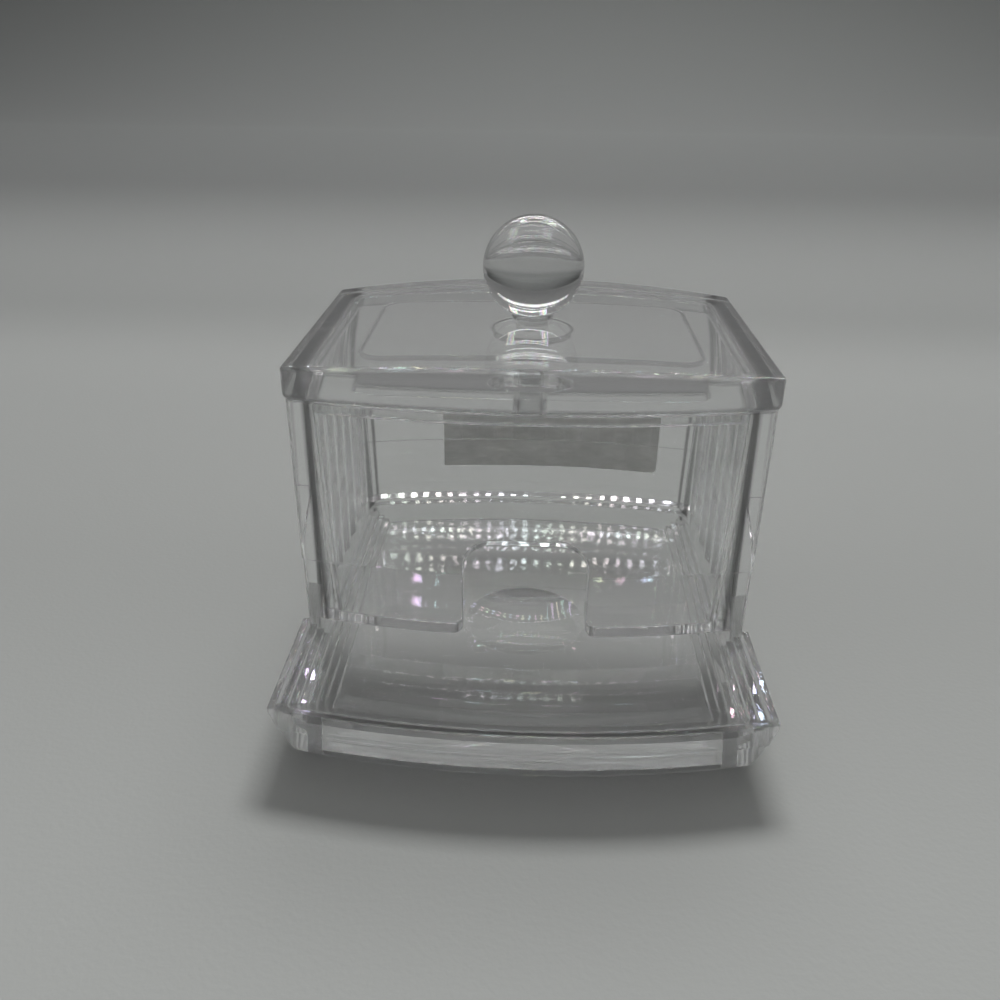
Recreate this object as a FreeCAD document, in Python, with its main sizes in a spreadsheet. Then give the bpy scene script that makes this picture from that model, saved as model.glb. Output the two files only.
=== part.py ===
import FreeCAD, Part
import math
import os

import Sketcher

# Clear moulded cotton swab holder: a bowed box with a lift-off lid and a pull-out tray.
# Millimetres, +Z up. The table is z = 0, the tray opens towards -Y, and x = 0 is the
# plane of symmetry. Every piece is drawn about the middle of the box and then set back
# by frame_shift, so that the origin lies under the middle of the whole holder.

# Driving dimensions, written to the sheet under these names
SIZES = {
    "frame_shift": 16.0,
    "bow_radius": 222.0,
    # box, outside: the foot stands back a little from the wall above the parting step
    "box_half_width": 49.5,
    "box_half_depth": 31.6,
    "box_height": 65.4,
    "box_corner": 1.6,
    "parting_height": 28.5,
    "parting_step": 0.25,
    # box, inside: mouth at the top, throat at the tray. The back and the sides run straight
    # from one to the other, and the front wall thickens below its waist
    "mouth_half_width": 45.0,
    "mouth_half_depth": 29.9,
    "waist_half_width": 43.5,
    "waist_half_depth": 28.9,
    "waist_height": 27.6,
    "throat_half_width": 43.0,
    "throat_half_depth": 25.4,
    "throat_height": 13.3,
    "inside_bow_radius": 219.4,
    "inside_corner": 2.4,
    # bay under the box that the tray slides into
    "bay_half_width": 46.3,
    "bay_back": 29.5,
    "bay_front": 60.0,
    # finger notch in the front wall
    "notch_half_width": 13.4,
    "notch_top": 36.4,
    "notch_corner": 7.0,
    "notch_flare": 2.5,
    # shallow flutes down the inside of the side walls, from under the rim to the throat
    "flute_radius": 14.0,
    "flute_axis": 31.6,
    "flute_pitch": 8.0,
    "flute_top": 61.9,
    # tray, outside
    "rim_half_width": 49.8,
    "rim_reach": 69.6,
    "rim_height": 13.7,
    "rim_width": 1.3,
    "rim_edge": 1.0,
    "wing_back": 32.9,
    "wing_knee_half": 47.2,
    "wing_knee_height": 4.4,
    "wing_foot_half": 43.4,
    "wing_foot_radius": 6.0,
    "band_reach": 68.9,
    "band_height": 8.2,
    "under_band_reach": 68.3,
    "under_band_height": 7.8,
    "toe_reach": 67.0,
    "toe_height": 2.4,
    "toe_foot": 64.2,
    "toe_radius": 3.0,
    # tray, the heel that stays in the bay
    "heel_half_width": 45.9,
    "heel_back": 29.1,
    "heel_bow_radius": 219.0,
    "heel_front": 40.0,
    "heel_height": 10.3,
    "heel_wall": 2.4,
    "heel_corner": 4.0,
    # tray, inside
    "floor_height": 5.0,
    "floor_half_width": 39.5,
    "floor_edge": 37.6,
    "trough_end": 52.0,
    "trough_radius": 29.0,
    "step_width": 1.45,
    "step_height": 1.2,
    "dish_ramp_reach": 58.6,
    "dish_ramp_height": 7.5,
    "foot_recess": 1.2,
    "foot_width": 3.2,
    "dimple_radius": 48.0,
    "dimple_depth": 2.2,
    "dimple_place": 18.0,
    # lid
    "lid_half_width": 50.0,
    "lid_half_depth": 31.9,
    "lid_corner": 1.6,
    "lid_edge_height": 7.0,
    "lid_crown": 2.5,
    "lid_crown_radius": 501.25,
    "lid_under_round": 1.6,
    "lid_top_round": 0.7,
    "lip_half_width": 44.6,
    "lip_half_depth": 29.4,
    "lip_wall": 1.7,
    "lip_length": 3.0,
    "lip_corner": 3.0,
    "panel_half_width": 35.8,
    "panel_half_depth": 21.3,
    "panel_thickness": 1.2,
    "panel_corner": 5.0,
    "boss_radius": 8.8,
    "boss_foot": 62.8,
    "hole_radius": 3.65,
    "hole_foot": 64.2,
    # knob
    "ball_radius": 11.2,
    "ball_height": 86.1,
    "neck_radius": 4.6,
    "peg_radius": 3.5,
    "peg_foot": 64.6,
    # blank paper label on the back wall
    "label_left": 24.2,
    "label_right": 36.3,
    "label_foot": 20.4,
    "label_height": 22.6,
    "label_thickness": 0.16,
    "label_corner": 1.5,
    # how far a working solid reaches past what it cuts or trims
    "margin": 20.0,
    "sweep_angle": 40.0,
}

doc = FreeCAD.newDocument("swab_holder")
sheet = doc.addObject("Spreadsheet::Sheet", "sheet")
for row, (alias, value) in enumerate(SIZES.items(), start=1):
    sheet.set("A%d" % row, alias)
    sheet.set("B%d" % row, str(value))
    sheet.setAlias("B%d" % row, alias)
doc.recompute()


class Dim:
    """A size: its value now, and the sheet expression that keeps it up to date."""

    def __init__(self, value, text):
        self.value = value
        self.text = text

    def __add__(self, other):
        return Dim(self.value + other.value, "(%s + %s)" % (self.text, other.text))

    def __sub__(self, other):
        return Dim(self.value - other.value, "(%s - %s)" % (self.text, other.text))

    def __mul__(self, other):
        return Dim(self.value * other.value, "(%s * %s)" % (self.text, other.text))

    def __truediv__(self, other):
        return Dim(self.value / other.value, "(%s / %s)" % (self.text, other.text))

    def __neg__(self):
        return Dim(-self.value, "(-%s)" % self.text)


def size(alias):
    """The named cell of the sheet."""
    return Dim(float(sheet.get(alias)), "sheet.%s" % alias)


def number(value):
    return Dim(float(value), str(value))


def root(dim):
    return Dim(math.sqrt(dim.value), "sqrt(%s)" % dim.text)


ZERO = number(0)
ONE = number(1)
CLEAR = size("margin")


def sagitta(radius, half_chord):
    """How far an arc of this radius stands out over its chord."""
    return radius - root(radius * radius - half_chord * half_chord)


def bind(target, path, dim):
    target.setExpression(path, dim.text)


# Sketch helpers

PLANE_TURN = {
    "XY_Plane": FreeCAD.Rotation(),
    "XZ_Plane": FreeCAD.Rotation(FreeCAD.Vector(1, 0, 0), 90),
    "YZ_Plane": FreeCAD.Rotation(FreeCAD.Vector(1, 1, 1), 120),
}
ALONG_Y = FreeCAD.Vector(0, 1, 0)
ALONG_Z = FreeCAD.Vector(0, 0, 1)


def body_sketch(body, name, plane, offset=ZERO):
    """A sketch on one of the body's own origin planes."""
    sketch = body.newObject("Sketcher::SketchObject", name)
    face = [item for item in body.Origin.OriginFeatures if item.Role == plane][0]
    sketch.AttachmentSupport = [(face, "")]
    sketch.MapMode = "FlatFace"
    bind(sketch, "AttachmentOffset.Base.z", offset)
    return sketch


def free_sketch(name, plane):
    """A sketch on a main plane, for an extrusion or a revolution."""
    sketch = doc.addObject("Sketcher::SketchObject", name)
    sketch.Placement = FreeCAD.Placement(FreeCAD.Vector(), PLANE_TURN[plane])
    return sketch


def pin(sketch, edge, end, x, y):
    """Tie a point of the sketch to its two coordinates."""
    for kind, dim in (("DistanceX", x), ("DistanceY", y)):
        index = sketch.addConstraint(Sketcher.Constraint(kind, -1, 1, edge, end, dim.value))
        bind(sketch, "Constraints[%d]" % index, dim)


def tie_radius(sketch, edge, radius):
    index = sketch.addConstraint(Sketcher.Constraint("Radius", edge, radius.value))
    bind(sketch, "Constraints[%d]" % index, radius)


def arc_between(start, stop, radius, turn):
    """An arc over a chord: turn is 1 where it stands out to the right of the way from
    start to stop, and -1 where it stands out to the left."""
    chord = stop - start
    rise = radius - math.sqrt(radius ** 2 - (chord.Length / 2) ** 2)
    side = FreeCAD.Vector(chord.y, -chord.x, 0).normalize() * (rise * turn)
    return Part.Arc(start, (start + stop) * 0.5 + side, stop)


def draw(sketch, corners, arcs=None):
    """A closed outline through corners. arcs gives edge number: (radius, turn), and the
    other edges are straight."""
    arcs = arcs or {}
    points = [FreeCAD.Vector(x.value, y.value, 0) for x, y in corners]
    edges = []
    for place, start in enumerate(points):
        stop = points[(place + 1) % len(points)]
        if place in arcs:
            radius, turn = arcs[place]
            shape = arc_between(start, stop, radius.value, turn)
        else:
            shape = Part.LineSegment(start, stop)
        edge = sketch.addGeometry(shape, False)
        forward = sketch.Geometry[edge].StartPoint.distanceToPoint(start) < 1e-6
        edges.append((edge, 1, 2) if forward else (edge, 2, 1))
    for place, (edge, first, last) in enumerate(edges):
        after = edges[(place + 1) % len(edges)]
        sketch.addConstraint(Sketcher.Constraint("Coincident", edge, last, after[0], after[1]))
        pin(sketch, edge, first, *corners[place])
    for place, (radius, turn) in arcs.items():
        tie_radius(sketch, edges[place][0], radius)
    return sketch


def bowed(sketch, half_width, half_depth, bow, corner):
    """The outline of the holder seen from above: straight sides, bowed front and back, and
    small round corners. half_width and half_depth are where side and bow would meet."""
    bow_middle = half_depth - root(bow * bow - half_width * half_width)
    corner_x = half_width - corner
    inner_bow = bow - corner
    rise = root(inner_bow * inner_bow - corner_x * corner_x)
    side_end = bow_middle + rise
    bow_end_x = corner_x * bow / inner_bow
    bow_end_y = bow_middle + rise * bow / inner_bow
    corners = [
        (-bow_end_x, -bow_end_y),
        (bow_end_x, -bow_end_y),
        (half_width, -side_end),
        (half_width, side_end),
        (bow_end_x, bow_end_y),
        (-bow_end_x, bow_end_y),
        (-half_width, side_end),
        (-half_width, -side_end),
    ]
    long_arc = (bow, 1)
    quarter = (corner, 1)
    return draw(
        sketch, corners, {0: long_arc, 1: quarter, 3: quarter, 4: long_arc, 5: quarter, 7: quarter})


def rounded_box(sketch, half_width, half_depth, corner):
    """A rectangle about the middle with quarter-round corners."""
    side = half_width - corner
    end = half_depth - corner
    corners = [
        (-side, -half_depth),
        (side, -half_depth),
        (half_width, -end),
        (half_width, end),
        (side, half_depth),
        (-side, half_depth),
        (-half_width, end),
        (-half_width, -end),
    ]
    quarter = (corner, 1)
    return draw(sketch, corners, {1: quarter, 3: quarter, 5: quarter, 7: quarter})


def mirrored(right):
    """The corners of a right half, from the bottom up, closed by their mirror image."""
    left = [(-x, y) for x, y in reversed(right)]
    return right + left


# Solid helpers


def extrude(name, sketch, direction, start, stop):
    """A prism along the direction, from the place start to the place stop."""
    solid = doc.addObject("Part::Extrusion", name)
    solid.Base = sketch
    solid.DirMode = "Custom"
    solid.Dir = direction
    solid.Solid = True
    bind(solid, "LengthFwd", stop)
    bind(solid, "LengthRev", -start)
    return solid


def spin(name, sketch, middle):
    """A section swept about the upright axis of a bow, at the place middle along Y."""
    solid = doc.addObject("Part::Revolution", name)
    solid.Source = sketch
    solid.Axis = ALONG_Z
    bind(solid, "Base.y", middle)
    bind(solid, "Angle", size("sweep_angle"))
    solid.Symmetric = True
    solid.Solid = True
    return solid


def cut(name, base, tool):
    solid = doc.addObject("Part::Cut", name)
    solid.Base = base
    solid.Tool = tool
    doc.recompute()
    if not solid.Shape.Volume < base.Shape.Volume:
        raise RuntimeError("%s takes nothing away" % name)
    return solid


def fuse(name, shapes):
    solid = doc.addObject("Part::MultiFuse", name)
    solid.Shapes = shapes
    solid.Refine = True
    return solid


def common(name, shapes):
    solid = doc.addObject("Part::MultiCommon", name)
    solid.Shapes = shapes
    return solid


def chosen(shape, wanted):
    """The numbers of the edges that wanted picks out."""
    return [i for i, edge in enumerate(shape.Edges, start=1) if wanted(edge)]


def solid_round(name, base, radius, wanted):
    """Round picked edges of a solid."""
    doc.recompute()
    fillet = doc.addObject("Part::Fillet", name)
    fillet.Base = base
    fillet.Edges = [(i, radius.value, radius.value) for i in chosen(base.Shape, wanted)]
    doc.recompute()
    return fillet


# Tests that pick edges to round


def is_upright(edge):
    points = [vertex.Point for vertex in edge.Vertexes]
    return len(points) == 2 and abs(points[0].z - points[1].z) > 0.7 * edge.Length


def is_level_at(edge, height):
    box = edge.BoundBox
    return abs(box.ZMin - height.value) < 0.01 and abs(box.ZMax - height.value) < 0.01


def is_across_at(edge, half_width):
    """Runs from front to back at this distance from the middle."""
    return all(abs(abs(vertex.Point.x) - half_width.value) < 0.01 for vertex in edge.Vertexes)


# Box

FLUTES = 6


def bow_wall(name, turn, levels):
    """The space between the bowed inner face of one long wall and well past the middle of
    the box. The face is straight between the levels, which are named from the foot up. turn
    is -1 for the front wall and 1 for the back one."""
    toward = number(turn)
    heights = {
        "throat": size("throat_height") - ONE,
        "waist": size("waist_height"),
        "mouth": size("box_height") + ONE,
    }
    bow = size("inside_bow_radius")
    face = []
    for level in levels:
        depth = size(level + "_half_depth") + sagitta(bow, size(level + "_half_width"))
        face.append((toward * depth, heights[level]))
    far = -toward * (CLEAR + CLEAR)
    corners = [(far, face[0][1])] + face + [(far, face[-1][1])]
    sketch = draw(free_sketch(name + "_section", "YZ_Plane"), corners)
    mouth = size("mouth_half_depth") + sagitta(bow, size("mouth_half_width"))
    return spin(name, sketch, toward * (mouth - bow))


def make_box():
    """The chamber: bowed front and back, thick fluted sides, a front wall that thickens below
    its waist, a finger notch, and an open bay at the foot for the tray."""
    bow = size("bow_radius")
    height = size("box_height")
    step = size("parting_step")
    parting = size("parting_height")

    # outside
    foot_outline = bowed(
        free_sketch("foot_outline", "XY_Plane"),
        size("box_half_width") - step, size("box_half_depth") - step, bow - step,
        size("box_corner") - step)
    foot = extrude("box_foot", foot_outline, ALONG_Z, ZERO, parting)
    wall_outline = bowed(
        free_sketch("wall_outline", "XY_Plane"),
        size("box_half_width"), size("box_half_depth"), bow, size("box_corner"))
    wall = extrude("box_wall", wall_outline, ALONG_Z, parting, height)
    block = fuse("box_block", [foot, wall])

    # well that holds the swabs
    side_section = draw(
        free_sketch("side_section", "XZ_Plane"),
        mirrored([
            (size("throat_half_width"), size("throat_height") - ONE),
            (size("mouth_half_width"), height + ONE),
        ]))
    sides = extrude("well_sides", side_section, ALONG_Y, -CLEAR - CLEAR, CLEAR + CLEAR)
    well_front = bow_wall("well_front", -1, ["throat", "waist", "mouth"])
    well_back = bow_wall("well_back", 1, ["throat", "mouth"])
    well = common("well", [sides, well_front, well_back])
    well = solid_round("well_rounded", well, size("inside_corner"), is_upright)

    # bay for the tray
    bay_half = size("bay_half_width")
    bay_outline = draw(
        free_sketch("bay_outline", "XY_Plane"),
        [
            (-bay_half, -size("bay_front")),
            (bay_half, -size("bay_front")),
            (bay_half, size("bay_back")),
            (-bay_half, size("bay_back")),
        ],
        {2: (size("inside_bow_radius"), 1)})
    bay = extrude("bay", bay_outline, ALONG_Z, -CLEAR, size("throat_height"))

    # finger notch
    half = size("notch_half_width")
    top = size("notch_top")
    corner = size("notch_corner")
    quarter = (corner, 1)
    notch_outline = draw(
        free_sketch("notch_outline", "XZ_Plane"),
        mirrored([
            (half, size("throat_height") - ONE),
            (half, top - corner),
            (half - corner, top),
        ]),
        {1: quarter, 3: quarter})
    notch = extrude("notch", notch_outline, ALONG_Y, -size("bay_front"), -CLEAR)

    # flutes
    flutes = []
    for side in (-1, 1):
        for place in range(FLUTES):
            flute = doc.addObject("Part::Cylinder", "flute")
            bind(flute, "Radius", size("flute_radius"))
            bind(flute, "Height", size("flute_top") - size("throat_height") + ONE)
            bind(flute, "Placement.Base.x", number(side) * size("flute_axis"))
            middle = number(place - (FLUTES - 1) / 2)
            bind(flute, "Placement.Base.y", middle * size("flute_pitch"))
            bind(flute, "Placement.Base.z", size("throat_height") - ONE)
            flutes.append(flute)
    reach = size("flute_pitch") * number(FLUTES / 2)
    band = doc.addObject("Part::Box", "flute_band")
    bind(band, "Length", size("box_half_width") * number(2))
    bind(band, "Width", reach * number(2))
    bind(band, "Height", height)
    bind(band, "Placement.Base.x", -size("box_half_width"))
    bind(band, "Placement.Base.y", -reach)
    fluting = common("fluting", [fuse("flutes", flutes), band])

    shell = cut("box_shell", block, well)
    shell = cut("box_with_bay", shell, bay)
    shell = cut("box_with_notch", shell, notch)
    shell = solid_round(
        "box_with_flare", shell, size("notch_flare"),
        lambda edge: is_level_at(edge, size("throat_height")) and is_across_at(edge, half))
    return cut("box_body", shell, fluting)


# Tray

DISH_STEPS = 6
HEEL_STEPS = 3


def stepped_side(bottom, steps):
    """The right half of a channel: a flat floor and small steps up its side."""
    half = size("floor_half_width")
    level = size("floor_height")
    right = [(half, bottom)]
    for _ in range(steps):
        level = level + size("step_height")
        right.append((half, level))
        half = half + size("step_width")
        right.append((half, level))
    return right


def make_tray():
    """The pull-out tray: a flared, bowed dish in front of the box, and a narrower heel with
    an upstand at its back that slides in the bay."""
    rim = size("rim_height")
    reach = size("rim_reach")
    rim_half = size("rim_half_width")
    above = rim + CLEAR
    behind = -size("frame_shift")

    # dish, outside
    wing_section = draw(
        free_sketch("wing_section", "XZ_Plane"),
        mirrored([
            (size("wing_foot_half"), ZERO),
            (size("wing_knee_half"), size("wing_knee_height")),
            (rim_half, rim - size("rim_edge")),
            (rim_half, rim),
        ]),
        {0: (size("wing_foot_radius"), 1), 6: (size("wing_foot_radius"), 1)})
    wings = extrude("wings", wing_section, ALONG_Y, -reach - CLEAR, -size("wing_back"))
    front_section = draw(
        free_sketch("front_section", "YZ_Plane"),
        [
            (-size("toe_foot"), ZERO),
            (behind, ZERO),
            (behind, rim),
            (-reach, rim),
            (-size("band_reach"), size("band_height")),
            (-size("under_band_reach"), size("under_band_height")),
            (-size("toe_reach"), size("toe_height")),
        ],
        {6: (size("toe_radius"), 1)})
    bow_middle = size("bow_radius") - reach
    dish = common("dish", [wings, spin("front", front_section, bow_middle)])

    # heel, outside
    heel_half = size("heel_half_width")
    heel_outline = draw(
        free_sketch("heel_outline", "XY_Plane"),
        [
            (-heel_half, -size("heel_front")),
            (heel_half, -size("heel_front")),
            (heel_half, size("heel_back")),
            (-heel_half, size("heel_back")),
        ],
        {2: (size("heel_bow_radius"), 1)})
    heel_block = extrude("heel_block", heel_outline, ALONG_Z, ZERO, size("heel_height"))
    corner = size("heel_corner")
    heel_top = size("heel_height")
    quarter = (corner, 1)
    heel_section = draw(
        free_sketch("heel_section", "XZ_Plane"),
        mirrored([
            (heel_half, ZERO),
            (heel_half, heel_top - corner),
            (heel_half - corner, heel_top),
        ]),
        {1: quarter, 3: quarter})
    heel_face = extrude("heel_face", heel_section, ALONG_Y, -size("heel_front"), CLEAR + CLEAR)
    heel = common("heel", [heel_block, heel_face])
    block = fuse("tray_block", [dish, heel])

    # dish, inside
    inner_half = rim_half - size("rim_width")
    dish_section = draw(
        free_sketch("dish_section", "XZ_Plane"),
        mirrored(stepped_side(size("floor_height") - ONE, DISH_STEPS) + [
            (inner_half, rim),
            (inner_half, above),
        ]))
    dish_prism = extrude("dish_prism", dish_section, ALONG_Y, -reach - CLEAR, -size("wing_back"))
    floor = size("floor_height")
    ramp_section = draw(
        free_sketch("ramp_section", "YZ_Plane"),
        [
            (behind, floor),
            (behind, above),
            (-reach + size("rim_width"), above),
            (-reach + size("rim_width"), rim),
            (-size("dish_ramp_reach"), size("dish_ramp_height")),
            (-size("trough_end"), floor),
            (-size("floor_edge"), floor),
        ],
        {5: (size("trough_radius"), 1)})
    dish_hollow = common("dish_hollow", [dish_prism, spin("ramp", ramp_section, bow_middle)])

    # heel, inside
    wall = size("heel_wall")
    step_half = size("floor_half_width") + size("step_width") * number(HEEL_STEPS)
    heel_channel = draw(
        free_sketch("heel_channel", "XZ_Plane"),
        mirrored(stepped_side(floor, HEEL_STEPS) + [(step_half, above)]))
    heel_prism = extrude("heel_prism", heel_channel, ALONG_Y, -size("heel_front"), CLEAR + CLEAR)
    well_outline = draw(
        free_sketch("well_outline", "XY_Plane"),
        [
            (-heel_half, -size("wing_back") - ONE),
            (heel_half, -size("wing_back") - ONE),
            (heel_half, size("heel_back") - wall),
            (-heel_half, size("heel_back") - wall),
        ],
        {2: (size("heel_bow_radius") - wall, 1)})
    well_prism = extrude("well_prism", well_outline, ALONG_Z, ZERO, above)
    heel_hollow = common("heel_hollow", [heel_prism, well_prism])
    hollowed = cut("tray_hollowed", block, fuse("tray_hollow", [dish_hollow, heel_hollow]))

    # finger dimple in the floor
    ball = doc.addObject("Part::Sphere", "dimple_ball")
    bind(ball, "Radius", size("dimple_radius"))
    bind(ball, "Placement.Base.y", -size("dimple_place"))
    bind(ball, "Placement.Base.z", floor + size("dimple_radius") - size("dimple_depth"))
    dimpled = cut("tray_dimpled", hollowed, ball)

    # shallow recess underneath, which leaves a foot rim to stand on
    rim_foot = size("foot_width")
    recess_half = size("wing_foot_half") - rim_foot
    front_reach = size("toe_foot") - rim_foot
    front_bow = size("bow_radius") - reach + front_reach
    recess_front = front_reach - sagitta(front_bow, recess_half)
    recess_outline = draw(
        free_sketch("recess_outline", "XY_Plane"),
        [
            (-recess_half, -recess_front),
            (recess_half, -recess_front),
            (recess_half, size("heel_back") - rim_foot),
            (-recess_half, size("heel_back") - rim_foot),
        ],
        {0: (front_bow, 1), 2: (size("heel_bow_radius"), 1)})
    recess = extrude("recess", recess_outline, ALONG_Z, -CLEAR, size("foot_recess"))
    return cut("tray_body", dimpled, recess)


# Lid


def make_lid():
    """The lid: a thick crowned plate with a lip that drops into the mouth of the box, a raised
    panel and a boss underneath, and a hole in the boss for the knob's peg."""
    seat = size("box_height")
    crown_top = seat + size("lid_edge_height") + size("lid_crown")
    inside_bow = size("inside_bow_radius")

    outline = bowed(
        free_sketch("lid_outline", "XY_Plane"),
        size("lid_half_width"), size("lid_half_depth"), size("bow_radius"), size("lid_corner"))
    prism = extrude("lid_prism", outline, ALONG_Z, seat, crown_top + CLEAR)
    wide = size("lid_half_width") + ONE
    side = crown_top - sagitta(size("lid_crown_radius"), wide)
    crown_section = draw(
        free_sketch("crown_section", "XZ_Plane"),
        mirrored([(wide, seat - CLEAR), (wide, side)]),
        {1: (size("lid_crown_radius"), 1)})
    crown = extrude(
        "crown_bar", crown_section, ALONG_Y, -CLEAR - CLEAR - CLEAR, CLEAR + CLEAR + CLEAR)
    plate = common("lid_block", [prism, crown])
    plate = solid_round(
        "lid_rounded_below", plate, size("lid_under_round"), lambda edge: is_level_at(edge, seat))
    edge_top = seat + size("lid_edge_height")
    plate = solid_round(
        "lid_rounded_above", plate, size("lid_top_round"),
        lambda edge: edge.BoundBox.ZMin > edge_top.value - 0.1)

    lip_outline = bowed(
        free_sketch("lip_outline", "XY_Plane"),
        size("lip_half_width"), size("lip_half_depth"), inside_bow, size("lip_corner"))
    lip_block = extrude("lip_block", lip_outline, ALONG_Z, seat - size("lip_length"), seat + ONE)
    wall = size("lip_wall")
    hollow_outline = bowed(
        free_sketch("hollow_outline", "XY_Plane"),
        size("lip_half_width") - wall, size("lip_half_depth") - wall, inside_bow - wall,
        size("lip_corner") - wall)
    hollow = extrude("lip_hollow", hollow_outline, ALONG_Z, seat - CLEAR, seat + CLEAR)
    lip = cut("lip", lip_block, hollow)

    panel_outline = rounded_box(
        free_sketch("panel_outline", "XY_Plane"),
        size("panel_half_width"), size("panel_half_depth"), size("panel_corner"))
    panel = extrude("panel", panel_outline, ALONG_Z, seat - size("panel_thickness"), seat + ONE)

    boss = doc.addObject("Part::Cylinder", "boss")
    bind(boss, "Radius", size("boss_radius"))
    bind(boss, "Height", seat + ONE - size("boss_foot"))
    bind(boss, "Placement.Base.z", size("boss_foot"))

    hole = doc.addObject("Part::Cylinder", "peg_hole")
    bind(hole, "Radius", size("hole_radius"))
    bind(hole, "Height", CLEAR)
    bind(hole, "Placement.Base.z", size("hole_foot"))
    return cut("lid_body", fuse("lid_whole", [plate, lip, panel, boss]), hole)


# Knob


def make_knob():
    """The knob: a ball that stands on the lid on a short neck, with a peg into the boss."""
    body = doc.addObject("PartDesign::Body", "knob_body")
    seat = size("box_height") + size("lid_edge_height") + size("lid_crown")
    ball = size("ball_radius")
    middle = size("ball_height")
    neck = size("neck_radius")
    neck_top = middle - root(ball * ball - neck * neck)
    section = draw(
        body_sketch(body, "knob_section", "XZ_Plane"),
        [
            (ZERO, size("peg_foot")),
            (size("peg_radius"), size("peg_foot")),
            (size("peg_radius"), seat),
            (neck, seat),
            (neck, neck_top),
            (ZERO, middle + ball),
        ],
        {4: (ball, 1)})
    turned = body.newObject("PartDesign::Revolution", "knob_turned")
    turned.Profile = section
    turned.ReferenceAxis = (section, ["V_Axis"])
    body.Tip = turned
    doc.recompute()
    return body


# Label


def make_label():
    """The blank paper label, which lies against the bowed back wall of the box."""
    bow = size("bow_radius")
    half_width = size("box_half_width")
    half_depth = size("box_half_depth")
    thick = size("label_thickness")
    left = -size("label_left")
    right = size("label_right")
    foot = size("label_foot")
    top = foot + size("label_height")
    corner = size("label_corner")
    paper = draw(
        free_sketch("label_outline", "XZ_Plane"),
        [(left, foot), (right - corner, foot), (right, foot + corner), (right, top), (left, top)],
        {1: (corner, 1)})
    block = extrude("label_block", paper, ALONG_Y, CLEAR, CLEAR + CLEAR)
    outer = bowed(
        free_sketch("label_face", "XY_Plane"),
        half_width + thick, half_depth + thick, bow + thick, corner + thick)
    inner = bowed(
        free_sketch("label_back", "XY_Plane"), half_width, half_depth, bow, corner)
    sheet_outside = extrude("label_outside", outer, ALONG_Z, ZERO, CLEAR * number(4))
    sheet_inside = extrude("label_inside", inner, ALONG_Z, -ONE, CLEAR * number(4) + ONE)
    return common("label_body", [block, cut("label_sheet", sheet_outside, sheet_inside)])


def set_in_frame(piece, label):
    """Name the finished piece and set it back into the holder's frame."""
    piece.Label = label
    bind(piece, "Placement.Base.y", size("frame_shift"))
    return piece


pieces = [
    set_in_frame(make_box(), "box"),
    set_in_frame(make_tray(), "tray"),
    set_in_frame(make_lid(), "lid"),
    set_in_frame(make_knob(), "knob"),
    set_in_frame(make_label(), "back_label"),
]
doc.recompute()

# Nothing is written unless every object is sound
for item in doc.Objects:
    if "Invalid" in item.State or "Error" in item.State:
        raise RuntimeError("%s did not build: %s" % (item.Name, item.State))
for piece in pieces:
    shape = piece.Shape
    if shape.isNull() or not shape.isValid() or len(shape.Solids) != 1:
        raise RuntimeError("%s is not one valid solid" % piece.Label)
    box = shape.BoundBox
    print("%-11s %8.1f mm3  x %6.2f to %6.2f  y %6.2f to %6.2f  z %6.2f to %6.2f" % (
        piece.Label, shape.Volume, box.XMin, box.XMax, box.YMin, box.YMax, box.ZMin, box.ZMax))

os.makedirs("parts", exist_ok=True)
for piece in pieces:
    piece.Shape.exportStep("parts/%s.step" % piece.Label)
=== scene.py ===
# %% [markdown]
# # A clear cotton swab holder
# The holder is made of a few clear mouldings: a bowed box, a pull-out tray, a crowned lid and
# a ball knob. A paper label sits on the back of the box. Their construction comes from the
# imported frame. This lesson gives them their finish, puts them under a soft light and sets up
# the camera.

# %% Load the frame
import math

import bpy
from mathutils import Matrix, Vector

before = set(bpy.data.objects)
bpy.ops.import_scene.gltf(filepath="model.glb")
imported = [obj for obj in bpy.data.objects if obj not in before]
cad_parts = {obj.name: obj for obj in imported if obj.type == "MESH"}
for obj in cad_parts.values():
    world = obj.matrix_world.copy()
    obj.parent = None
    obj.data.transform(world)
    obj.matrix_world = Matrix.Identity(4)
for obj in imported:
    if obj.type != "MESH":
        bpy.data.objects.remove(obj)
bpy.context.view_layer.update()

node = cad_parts
MM = 0.001
print("frame loaded:", ", ".join(sorted(node)))

# %% [markdown]
# The camera stands in front of the holder and looks down at it, turned and rolled a little,
# as a hand-held picture is. Its place is given in millimetres from the middle of the holder's
# foot, and its turn as three angles. A Track To constraint could aim it instead, but it can't
# roll. So the axes are built one from the other, and each angle does one thing: yaw turns left
# and right, pitch looks down, and roll tilts the picture.

# %% Camera
CAMERA_PLACE = Vector((0.15, -185.6, 130.4)) * MM
CAMERA_LENS = 32.6
CAMERA_PITCH = math.radians(26.85)
CAMERA_YAW = math.radians(-1.99)
CAMERA_ROLL = math.radians(0.64)
CAMERA_NEAR = 0.01
CAMERA_FAR = 20.0


def camera_axes(yaw, pitch, roll):
    """The camera's right, up and backward directions."""
    forward = Vector((
        math.sin(yaw) * math.cos(pitch), math.cos(yaw) * math.cos(pitch), -math.sin(pitch)))
    level_right = Vector((math.cos(yaw), -math.sin(yaw), 0.0))
    level_up = level_right.cross(forward)
    right = level_right * math.cos(roll) + level_up * math.sin(roll)
    up = level_up * math.cos(roll) - level_right * math.sin(roll)
    return right, up, -forward


def make_camera():
    """The scene's camera, turned so that its own axes lie along the three directions."""
    bpy.ops.object.camera_add(location=CAMERA_PLACE)
    camera = bpy.context.object
    camera.name = "camera"
    camera.data.lens = CAMERA_LENS
    camera.data.clip_start = CAMERA_NEAR
    camera.data.clip_end = CAMERA_FAR
    turn = Matrix(camera_axes(CAMERA_YAW, CAMERA_PITCH, CAMERA_ROLL)).transposed()
    camera.rotation_euler = turn.to_euler()
    bpy.context.scene.camera = camera
    return camera


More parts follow.
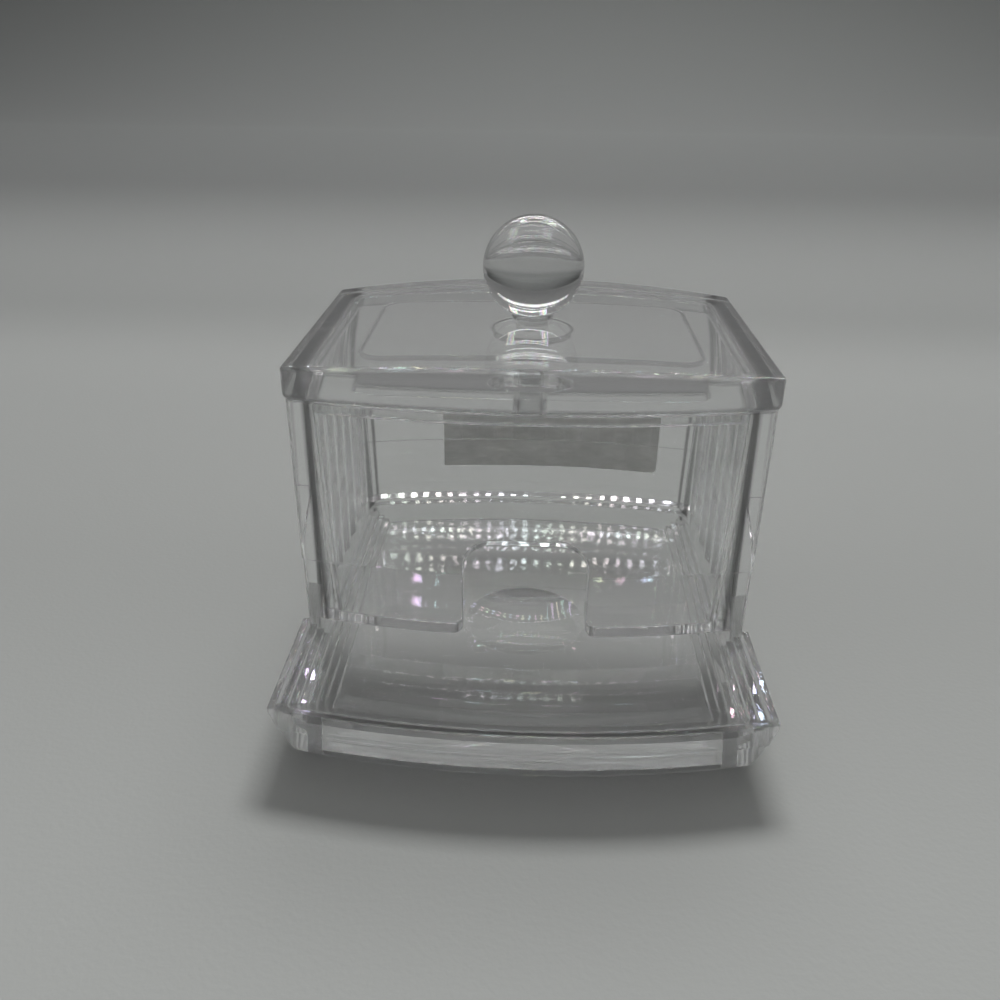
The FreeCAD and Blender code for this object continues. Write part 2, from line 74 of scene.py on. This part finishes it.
camera = make_camera()
print("camera at", tuple(round(x, 4) for x in camera.location))

# %% [markdown]
# Every finish here is a set of shader nodes. A few small helpers keep the cells short. The
# first ones add a node, start a material and take a place apart into X, Y and Z.

# %% Helpers that add nodes


def add(tree, kind, **values):
    """A new node, with values for its properties or, by name, for its sockets."""
    made = tree.nodes.new(kind)
    for name, value in values.items():
        if hasattr(made, name):
            setattr(made, name, value)
        else:
            made.inputs[name.replace("_", " ")].default_value = value
    return made


def start_material(name):
    """A material with its shader, its node tree and the place on the piece."""
    material = bpy.data.materials.new(name)
    material.use_nodes = True
    tree = material.node_tree
    shader = tree.nodes["Principled BSDF"]
    place = add(tree, "ShaderNodeTexCoord").outputs["Object"]
    return material, tree, shader, place


def split(tree, vector):
    """The X, Y and Z of a vector."""
    made = add(tree, "ShaderNodeSeparateXYZ")
    tree.links.new(vector, made.inputs["Vector"])
    return made.outputs


def grey(value):
    """A colour with as much red as green and blue."""
    return (value, value, value, 1.0)


print("helpers that add nodes are ready")

# %% [markdown]
# The others make the patterns that all finishes use. Painted pictures could give such patterns
# too, but they blur close up and need a map of every surface. Noise is worked out from the
# place on the piece, so it stays sharp and needs no map.

# %% Helpers that make patterns


def noise(tree, place, scale, detail=2.0):
    """A cloudy pattern, from 0 to 1."""
    made = add(tree, "ShaderNodeTexNoise", Scale=scale, Detail=detail)
    tree.links.new(place, made.inputs["Vector"])
    return made.outputs["Fac"]


def stretched(tree, place, stretch, turn=0.0):
    """The place, turned about Z and stretched, for patterns that run one way."""
    made = add(tree, "ShaderNodeMapping")
    made.inputs["Rotation"].default_value = (0.0, 0.0, turn)
    made.inputs["Scale"].default_value = stretch
    tree.links.new(place, made.inputs["Vector"])
    return made.outputs["Vector"]


def spread(tree, value, low, high, start=0.0, stop=1.0):
    """Turns start to stop into low to high."""
    made = add(tree, "ShaderNodeMapRange")
    tree.links.new(value, made.inputs["Value"])
    made.inputs["From Min"].default_value = start
    made.inputs["From Max"].default_value = stop
    made.inputs["To Min"].default_value = low
    made.inputs["To Max"].default_value = high
    return made.outputs["Result"]


def compute(tree, operation, first, second=None):
    """One sum on a value and, where the sum needs it, a second value or a number."""
    made = add(tree, "ShaderNodeMath", operation=operation)
    tree.links.new(first, made.inputs[0])
    if isinstance(second, bpy.types.NodeSocket):
        tree.links.new(second, made.inputs[1])
    elif second is not None:
        made.inputs[1].default_value = second
    return made.outputs["Value"]


def ramp(tree, value, stops, easing="LINEAR"):
    """A colour that follows a value, from pairs of a position and a colour."""
    made = add(tree, "ShaderNodeValToRGB")
    made.color_ramp.interpolation = easing
    steps = made.color_ramp.elements
    steps[0].position, steps[0].color = stops[0]
    steps[1].position, steps[1].color = stops[-1]
    for position, colour in stops[1:-1]:
        steps.new(position).color = colour
    tree.links.new(value, made.inputs["Fac"])
    return made.outputs["Color"]


def bump(tree, height, strength, distance):
    """A relief in the shading alone."""
    made = add(tree, "ShaderNodeBump", Strength=strength, Distance=distance)
    tree.links.new(height, made.inputs["Height"])
    return made


print("helpers that make patterns are ready")

# %% [markdown]
# Handling leaves fine rubs on the plastic, which run mostly two ways. A noise that is squeezed
# across and drawn out along gives thin streaks, and only its peaks are kept, so that most of
# the surface stays clean. Two such sets cross each other.

# %% Rubs
# For each set the stretch and turn of the noise, and where its peaks start and are full.
RUBS = (
    ((60.0, 2200.0, 1600.0), math.radians(35), 0.66, 0.74),
    ((1900.0, 80.0, 1400.0), math.radians(-35), 0.68, 0.76),
)


def rubs(tree, place):
    """Fine crossed scratches, from 0 to 1."""
    sets = []
    for stretch, turn, start, stop in RUBS:
        streaks = noise(tree, stretched(tree, place, stretch, turn), 1.0, 1.0)
        sets.append(spread(tree, streaks, 0.0, 1.0, start, stop))
    return compute(tree, "MAXIMUM", *sets)


print("rubs in", len(RUBS), "directions")

# %% [markdown]
# Where the plastic is thick, at the corners of the box and at the ends of the lid, it looks
# darker than elsewhere, from the way it bends light. Absorption inside the plastic would darken
# all of a piece by its thickness, the middle of the lid as well. So that shade is painted into
# the colour in a band instead. The band is the same on the left and the right. It is counted
# from the middle of the box, which lies behind the middle of the whole foot, because the tray
# stands out in front.

# %% Painted shade bands
BOX_MIDDLE = 0.016
# Where a band of painted shade starts and ends to either side, and how far to the front and the
# back it starts.
CORNER_PAINTED_SHADE = (43.4 * MM, 45.4 * MM, 27.0 * MM)
LID_PAINTED_SHADE = (44.6 * MM, 60.0 * MM, 0.0)
# The colour sockets of a Mix node share their names with others, so they go by number.
MIX_FIRST = 6
MIX_SECOND = 7
MIX_RESULT = 2


def painted_shade_band(tree, place, near, far, depth):
    """1 from near to far to either side, where it is also past depth to the front or the back,
    and 0 elsewhere. It marks where shade is painted. Its borders are a millimetre wide."""
    parts = split(tree, place)
    centred = spread(tree, parts["Y"], -1.0, 1.0, BOX_MIDDLE - 1.0, BOX_MIDDLE + 1.0)
    aside = compute(tree, "ABSOLUTE", parts["X"])
    away = compute(tree, "ABSOLUTE", centred)
    inner = spread(tree, aside, 0.0, 1.0, near, near + MM)
    outer = spread(tree, aside, 1.0, 0.0, far, far + MM)
    ends = spread(tree, away, 0.0, 1.0, depth, depth + MM)
    return compute(tree, "MULTIPLY", compute(tree, "MULTIPLY", inner, outer), ends)


def with_painted_shade(tree, colour, where, tone):
    """The colour, made darker by tone where the pattern says so: painted shade."""
    made = add(tree, "ShaderNodeMix", data_type="RGBA", blend_type="MULTIPLY")
    tree.links.new(where, made.inputs["Factor"])
    tree.links.new(colour, made.inputs[MIX_FIRST])
    made.inputs[MIX_SECOND].default_value = grey(tone)
    return made.outputs[MIX_RESULT]


print("bands start at", CORNER_PAINTED_SHADE[0], "and", LID_PAINTED_SHADE[0], "m to either side")

# %% [markdown]
# Light from a lamp reaches what is behind clear plastic. The path of each such ray is hard to
# find through many walls, so for shadow rays alone the shader is swapped for a thin grey
# Transparent one. Camera rays never see it. A shade says how much of the light each face lets
# through. The front of the tray is its thickest part, so its shade falls towards the front.

# %% Light through the plastic
# Where the shade starts to fall and where it is lowest, in metres along Y.
SHADE_BACK = -0.004
SHADE_FRONT = -0.022


def let_lamps_through(tree, shader, shade):
    """Swap the shader for a grey Transparent one where a ray only looks for a lamp."""
    path = add(tree, "ShaderNodeLightPath")
    thin = add(tree, "ShaderNodeBsdfTransparent", Color=grey(shade))
    mix = add(tree, "ShaderNodeMixShader")
    tree.links.new(path.outputs["Is Shadow Ray"], mix.inputs[0])
    tree.links.new(shader.outputs["BSDF"], mix.inputs[1])
    tree.links.new(thin.outputs["BSDF"], mix.inputs[2])
    tree.links.new(mix.outputs["Shader"], tree.nodes["Material Output"].inputs["Surface"])
    return thin


def deepen_front(tree, place, thin, back_shade, front_shade):
    """Let the shade of the Transparent shader change from the back of a piece to its front."""
    depth = split(tree, place)["Y"]
    shade = spread(tree, depth, back_shade, front_shade, SHADE_BACK, SHADE_FRONT)
    tree.links.new(shade, thin.inputs["Color"])


print("the shade falls between", SHADE_BACK, "and", SHADE_FRONT, "m")

# %% [markdown]
# The mouldings are clear styrene. It bends light a little more than window glass, so its edges
# look bright and dark. A Glass shader would be simpler, but the Principled one can also scatter
# a little of the light, which lifts the dark places: that is the part of it that is not
# transmission. Three more things keep it from looking like perfect glass. The sharp edges of
# the construction are rounded in the shading, so each one draws a thin line. A moulded face has
# very slow waves a centimetre or so long. And the rubs and a soft haze make it a little rough.

# %% Clear plastic
STYRENE_IOR = 1.57
CLARITY = 0.975
TINT_COOL = (0.985, 0.992, 0.99)
TINT_SCALE = 30.0
HAZE_SCALE = 110.0
HAZE_DETAIL = 6.0
HAZE_START = 0.45
HAZE_STOP = 0.8
HAZE_ROUGHNESS = 0.06
RUB_ROUGHNESS = 0.12
RUB_STRENGTH = 0.05
RUB_DEPTH = 0.02 * MM
EDGE_SAMPLES = 4


def clear_plastic(
        name, tone, edge_round, wave_size, wave_depth, wear, shade, front_shade=None,
        band=None, painted_shade_tone=1.0):
    """Clear styrene. tone is how bright things look through it, edge_round the radius of its
    edges, wave_size the length of the slow waves, wave_depth their height, and wear says how
    rubbed the piece is, from 0 to 1."""
    material, tree, shader, place = start_material(name)
    shader.inputs["Transmission Weight"].default_value = CLARITY
    shader.inputs["IOR"].default_value = STYRENE_IOR
    cool = tuple(part * tone for part in TINT_COOL) + (1.0,)
    colour = ramp(tree, noise(tree, place, TINT_SCALE), ((0.0, cool), (1.0, grey(tone))))
    # Painted shade: the colour is made darker in the band where thick plastic looks darker.
    if band:
        colour = with_painted_shade(tree, colour, painted_shade_band(tree, place, *band), painted_shade_tone)
    tree.links.new(colour, shader.inputs["Base Color"])
    scratches = rubs(tree, place)
    clouds = noise(tree, place, HAZE_SCALE, HAZE_DETAIL)
    haze = spread(tree, clouds, 0.0, HAZE_ROUGHNESS * wear, HAZE_START, HAZE_STOP)
    lines = spread(tree, scratches, 0.0, RUB_ROUGHNESS * wear)
    tree.links.new(compute(tree, "ADD", haze, lines), shader.inputs["Roughness"])
    edge = add(tree, "ShaderNodeBevel", samples=EDGE_SAMPLES, Radius=edge_round)
    slow = bump(tree, noise(tree, place, 1.0 / wave_size, 1.0), 1.0, wave_depth)
    fine = bump(tree, scratches, RUB_STRENGTH * wear, RUB_DEPTH)
    tree.links.new(edge.outputs["Normal"], slow.inputs["Normal"])
    tree.links.new(slow.outputs["Normal"], fine.inputs["Normal"])
    tree.links.new(fine.outputs["Normal"], shader.inputs["Normal"])
    thin = let_lamps_through(tree, shader, shade)
    if front_shade:
        deepen_front(tree, place, thin, shade, front_shade)
    return material


print("clear styrene, index of refraction", STYRENE_IOR)

# %% [markdown]
# Each moulding gets its own version of the plastic. The tray is handled most, so it is the most
# rubbed. The lid is the thickest plate, so its edges are the roundest. Things look darker
# through the lid and the knob than through the thin walls.

# %% Plastic on the pieces
# The bands on the box and the lid darken their colour: painted shade.
FINISHES = {
    "box": clear_plastic(
        "chamber_styrene", tone=0.98, edge_round=0.5 * MM, wave_size=14 * MM,
        wave_depth=0.010 * MM, wear=0.4, shade=0.96, band=CORNER_PAINTED_SHADE, painted_shade_tone=0.12),
    "tray": clear_plastic(
        "tray_styrene", tone=0.98, edge_round=0.6 * MM, wave_size=6 * MM,
        wave_depth=0.012 * MM, wear=0.6, shade=0.93, front_shade=0.52),
    "lid": clear_plastic(
        "lid_styrene", tone=0.90, edge_round=1.1 * MM, wave_size=16 * MM,
        wave_depth=0.009 * MM, wear=0.5, shade=0.96, band=LID_PAINTED_SHADE, painted_shade_tone=0.64),
    "knob": clear_plastic(
        "knob_styrene", tone=0.88, edge_round=0.5 * MM, wave_size=9 * MM,
        wave_depth=0.007 * MM, wear=0.25, shade=0.96),
}
for name, finish in FINISHES.items():
    node[name].material_slots[0].material = finish
print("clear plastic on", ", ".join(FINISHES))

# %% [markdown]
# The label on the back wall is blank paper, and the camera sees its glued side through two
# clear walls. Paper has short fibres, which a stretched noise gives, and the glue under it has
# dried in patches, which a slow noise gives. A plain grey would be quicker, but looks like card.
# Thin paper lets some of the light from behind through, so it glows a little and its shadow is
# a weak one.

# %% Label paper
PAPER_DARK = (0.50, 0.502, 0.48, 1.0)
PAPER_LIGHT = (0.78, 0.782, 0.76, 1.0)
PAPER_DARK_AT = 0.12
PAPER_LIGHT_AT = 0.45
PAPER_ROUGHNESS = 0.8
PAPER_GLOW = 0.6
PAPER_SHADE = 0.75
FIBRE_STRETCH = (300.0, 900.0, 900.0)
FIBRE_DETAIL = 4.0
FIBRE_STRENGTH = 0.3
FIBRE_DEPTH = 0.1 * MM
GLUE_SCALE = 160.0
GLUE_DETAIL = 4.0


def label_paper():
    """Thin pale paper with dried glue behind it."""
    material, tree, shader, place = start_material("label_paper")
    fibres = noise(tree, stretched(tree, place, FIBRE_STRETCH), 1.0, FIBRE_DETAIL)
    glue = noise(tree, place, GLUE_SCALE, GLUE_DETAIL)
    colour = ramp(
        tree, compute(tree, "MULTIPLY", fibres, glue),
        ((PAPER_DARK_AT, PAPER_DARK), (PAPER_LIGHT_AT, PAPER_LIGHT)))
    tree.links.new(colour, shader.inputs["Base Color"])
    shader.inputs["Roughness"].default_value = PAPER_ROUGHNESS
    shader.inputs["Transmission Weight"].default_value = PAPER_GLOW
    relief = bump(tree, fibres, FIBRE_STRENGTH, FIBRE_DEPTH)
    tree.links.new(relief.outputs["Normal"], shader.inputs["Normal"])
    let_lamps_through(tree, shader, PAPER_SHADE)
    return material


node["back_label"].material_slots[0].material = label_paper()
print("paper on the back label")

# %% [markdown]
# The stage is a pale floor that curves up into a low backdrop far behind the holder. It is a
# plane whose far edge is extruded up in a few turns. A floor and an upright wall would show a
# line where they meet. Lengths are in metres.

# %% Floor and backdrop
FLOOR_HALF = 3.0
BACKDROP_START = 1.4
BACKDROP_RADIUS = 0.6
BACKDROP_TURN = math.radians(60)
BACKDROP_STEPS = 12


def make_floor():
    """A plane, drawn up at its far edge."""
    bpy.ops.object.select_all(action="DESELECT")
    bpy.ops.mesh.primitive_plane_add(size=2 * FLOOR_HALF)
    floor = bpy.context.object
    floor.name = "floor"
    bpy.ops.object.mode_set(mode="EDIT")
    bpy.ops.mesh.select_mode(type="EDGE")
    bpy.ops.mesh.select_all(action="DESELECT")
    bpy.ops.object.mode_set(mode="OBJECT")
    for edge in floor.data.edges:
        ends = [floor.data.vertices[i].co for i in edge.vertices]
        edge.select = all(end.y > 0 for end in ends)
    bpy.ops.object.mode_set(mode="EDIT")
    bpy.ops.transform.translate(value=(0.0, BACKDROP_START - FLOOR_HALF, 0.0))
    turn = BACKDROP_TURN / BACKDROP_STEPS
    for step in range(BACKDROP_STEPS):
        start, stop = step * turn, (step + 1) * turn
        along = BACKDROP_RADIUS * (math.sin(stop) - math.sin(start))
        rise = BACKDROP_RADIUS * (math.cos(start) - math.cos(stop))
        bpy.ops.mesh.extrude_region_move(TRANSFORM_OT_translate={"value": (0.0, along, rise)})
    bpy.ops.object.mode_set(mode="OBJECT")
    bpy.ops.object.shade_smooth()
    return floor


floor = make_floor()
print("stage", len(floor.data.polygons), "faces")

# %% [markdown]
# The floor darkens with distance, which the clear plastic needs: its edges show only where they
# bend a darker part of the room into view. Less light at the back would darken it too, but
# would also dim the holder. So that shade is painted into the colour instead, from TONE_NEAR to
# TONE_FAR along Y.

# %% Grey of the stage, with painted shade
TONE_NEAR = -0.12
TONE_FAR = 0.80
# Each painted shade tone's place between the two, and its colour.
PAINTED_SHADE_TONES = (
    (0.0, (0.318, 0.326, 0.316, 1.0)),
    (0.18, (0.252, 0.258, 0.250, 1.0)),
    (0.33, (0.240, 0.246, 0.239, 1.0)),
    (0.47, (0.178, 0.183, 0.178, 1.0)),
    (1.0, (0.086, 0.089, 0.087, 1.0)),
)
FLOOR_ROUGHNESS = 0.8
GRAIN_SCALE = 900.0
GRAIN_DETAIL = 4.0
GRAIN_STRENGTH = 0.2
GRAIN_DEPTH = 0.2 * MM


def stage_grey_painted_shade():
    """A matt grey with a fine grain, and painted shade that keeps it paler in front and darker
    behind.
    """
    material, tree, shader, place = start_material("stage_grey_painted_shade")
    # Painted shade: the colour darkens along Y, from the front of the floor to the backdrop.
    distance = spread(tree, split(tree, place)["Y"], 0.0, 1.0, TONE_NEAR, TONE_FAR)
    tree.links.new(ramp(tree, distance, PAINTED_SHADE_TONES, "EASE"), shader.inputs["Base Color"])
    shader.inputs["Roughness"].default_value = FLOOR_ROUGHNESS
    specks = noise(tree, place, GRAIN_SCALE, GRAIN_DETAIL)
    grain = bump(tree, specks, GRAIN_STRENGTH, GRAIN_DEPTH)
    tree.links.new(grain.outputs["Normal"], shader.inputs["Normal"])
    return material


floor.data.materials.append(stage_grey_painted_shade())
print("grey on the stage, in", len(PAINTED_SHADE_TONES), "tones")

# %% [markdown]
# The light is that of a small studio. A soft lamp high behind the holder gives the shadow, and
# lights diffuse surfaces only. In its place the plastic reflects a panel of small bright
# squares. A low window of finer squares and thin strips of them stand behind and above: these
# draw the beaded lines and the sparkles along the edges. They light no diffuse surface. Clear
# plastic splits a glint into colours, which the renderer doesn't do, so the squares differ a
# little in colour instead.

# %% Lamps
LAMP_PLACE = Vector((0.2, 2.0, 2.1))
LAMP_WIDTH = 1.2
LAMP_DEPTH = 0.6
LAMP_WATTS = 116.0
PANEL_WIDTH = 2.1
PANEL_DEPTH = 0.9
PANEL_WATTS = 270.0
PANEL_DOTS = (22, 9)
PANEL_TINT = 0.35
WINDOW_PLACE = Vector((0.0, 0.95, 0.53))
WINDOW_WIDTH = 1.6
WINDOW_DEPTH = 0.10
WINDOW_WATTS = 3.4
WINDOW_DOTS = (90, 5)
STRIP_LENGTH = 0.9
STRIP_WIDTH = 0.018
# Each strip's place and watts.
STRIPS = (
    (Vector((0.02, 0.10, 0.90)), 1.6),
    (Vector((0.02, 0.42, 0.62)), 1.6),
    (Vector((0.0, 0.85, 0.600)), 5.0),
    (Vector((0.0, 0.85, 0.483)), 7.0),
)
STRIP_DOTS = (72, 1)
STRIP_TINT = 0.12
DOT_SHARE = 0.35
DOT_HUES = 7.0


def make_lamp(name, place, width, depth, watts):
    """A flat lamp that faces the holder."""
    bpy.ops.object.light_add(type="AREA", location=place)
    lamp = bpy.context.object
    lamp.name = name
    lamp.data.shape = "RECTANGLE"
    lamp.data.size = width
    lamp.data.size_y = depth
    lamp.data.energy = watts
    lamp.rotation_euler = (-place).to_track_quat("-Z", "Y").to_euler()
    return lamp


def dot_lamp(lamp, dots, colour):
    """Break a lamp up into columns and rows of small bright squares, for reflections only.
    colour says how much they differ in colour."""
    lamp.visible_diffuse = False
    lamp.data.use_nodes = True
    tree = lamp.data.node_tree
    emission = tree.nodes["Emission"]
    face = split(tree, add(tree, "ShaderNodeNewGeometry").outputs["Parametric"])
    lit = []
    for axis, count in zip("XY", dots):
        step = compute(tree, "FRACT", compute(tree, "MULTIPLY", face[axis], count))
        lit.append(compute(tree, "LESS_THAN", step, DOT_SHARE))
    tree.links.new(compute(tree, "MULTIPLY", *lit), emission.inputs["Strength"])
    # In this mode Red, Green and Blue are the hue, the saturation and the brightness.
    tint = add(tree, "ShaderNodeCombineColor", mode="HSV", Green=colour, Blue=1.0)
    hue = compute(tree, "FRACT", spread(tree, face["X"], 0.0, DOT_HUES))
    tree.links.new(hue, tint.inputs["Red"])
    tree.links.new(tint.outputs["Color"], emission.inputs["Color"])


soft_lamp = make_lamp("soft_lamp", LAMP_PLACE, LAMP_WIDTH, LAMP_DEPTH, LAMP_WATTS)
soft_lamp.visible_glossy = False
soft_lamp.visible_transmission = False
panel = make_lamp("panel", LAMP_PLACE, PANEL_WIDTH, PANEL_DEPTH, PANEL_WATTS)
dot_lamp(panel, PANEL_DOTS, PANEL_TINT)
window = make_lamp("window", WINDOW_PLACE, WINDOW_WIDTH, WINDOW_DEPTH, WINDOW_WATTS)
dot_lamp(window, WINDOW_DOTS, STRIP_TINT)
for number, (place, watts) in enumerate(STRIPS, start=1):
    strip = make_lamp("strip_%d" % number, place, STRIP_LENGTH, STRIP_WIDTH, watts)
    dot_lamp(strip, STRIP_DOTS, STRIP_TINT)
print("a soft lamp, a panel, a window and", len(STRIPS), "strips")

# %% [markdown]
# A dim room fills in, lighter above and darker on the camera's side. One even grey would leave
# the plastic without bright and dark edges. A pale band all round goes on from the floor.

# %% Room
ROOM_TOP = 0.36
ROOM_TOP_AT = 0.9
ROOM_LOW = 0.11
ROOM_BAND = 0.30
ROOM_BAND_END = 0.25
ROOM_COLOUR = grey(1.0)
CAMERA_SIDE = 0.18
CAMERA_SIDE_FROM = -0.6
CAMERA_SIDE_TO = 0.2


def make_room():
    """The world around the stage, by direction."""
    world = bpy.data.worlds.new("room")
    bpy.context.scene.world = world
    world.use_nodes = True
    tree = world.node_tree
    sky = tree.nodes["Background"]
    way = split(tree, add(tree, "ShaderNodeTexCoord").outputs["Generated"])
    level = spread(tree, way["Z"], ROOM_LOW, ROOM_TOP, 0.0, ROOM_TOP_AT)
    side = spread(tree, way["Y"], CAMERA_SIDE, 1.0, CAMERA_SIDE_FROM, CAMERA_SIDE_TO)
    band = spread(tree, way["Z"], ROOM_BAND, 0.0, 0.0, ROOM_BAND_END)
    room = compute(tree, "MAXIMUM", compute(tree, "MULTIPLY", level, side), band)
    tree.links.new(room, sky.inputs["Strength"])
    sky.inputs["Color"].default_value = ROOM_COLOUR


make_room()
print("the room is", ROOM_LOW, "low down and", ROOM_TOP, "above")

# %% [markdown]
# A ray that enters a clear wall may be turned back inside it many times before it leaves. If
# the renderer gives up too early, the plastic goes black at its edges, so it gets more bounces
# than it has at first. The shadow rays already carry the lamps' light through the plastic, so
# the renderer's own refractive caustics, which would count it twice, are off. The view
# transform is Standard, so colours come out as written.

# %% Bounces and view
CLEAR_BOUNCES = 32
path = bpy.context.scene.cycles
path.max_bounces = CLEAR_BOUNCES
path.transmission_bounces = CLEAR_BOUNCES
path.glossy_bounces = CLEAR_BOUNCES
path.transparent_max_bounces = CLEAR_BOUNCES
path.caustics_refractive = False
bpy.context.scene.view_settings.view_transform = "Standard"
print("up to", path.max_bounces, "bounces")
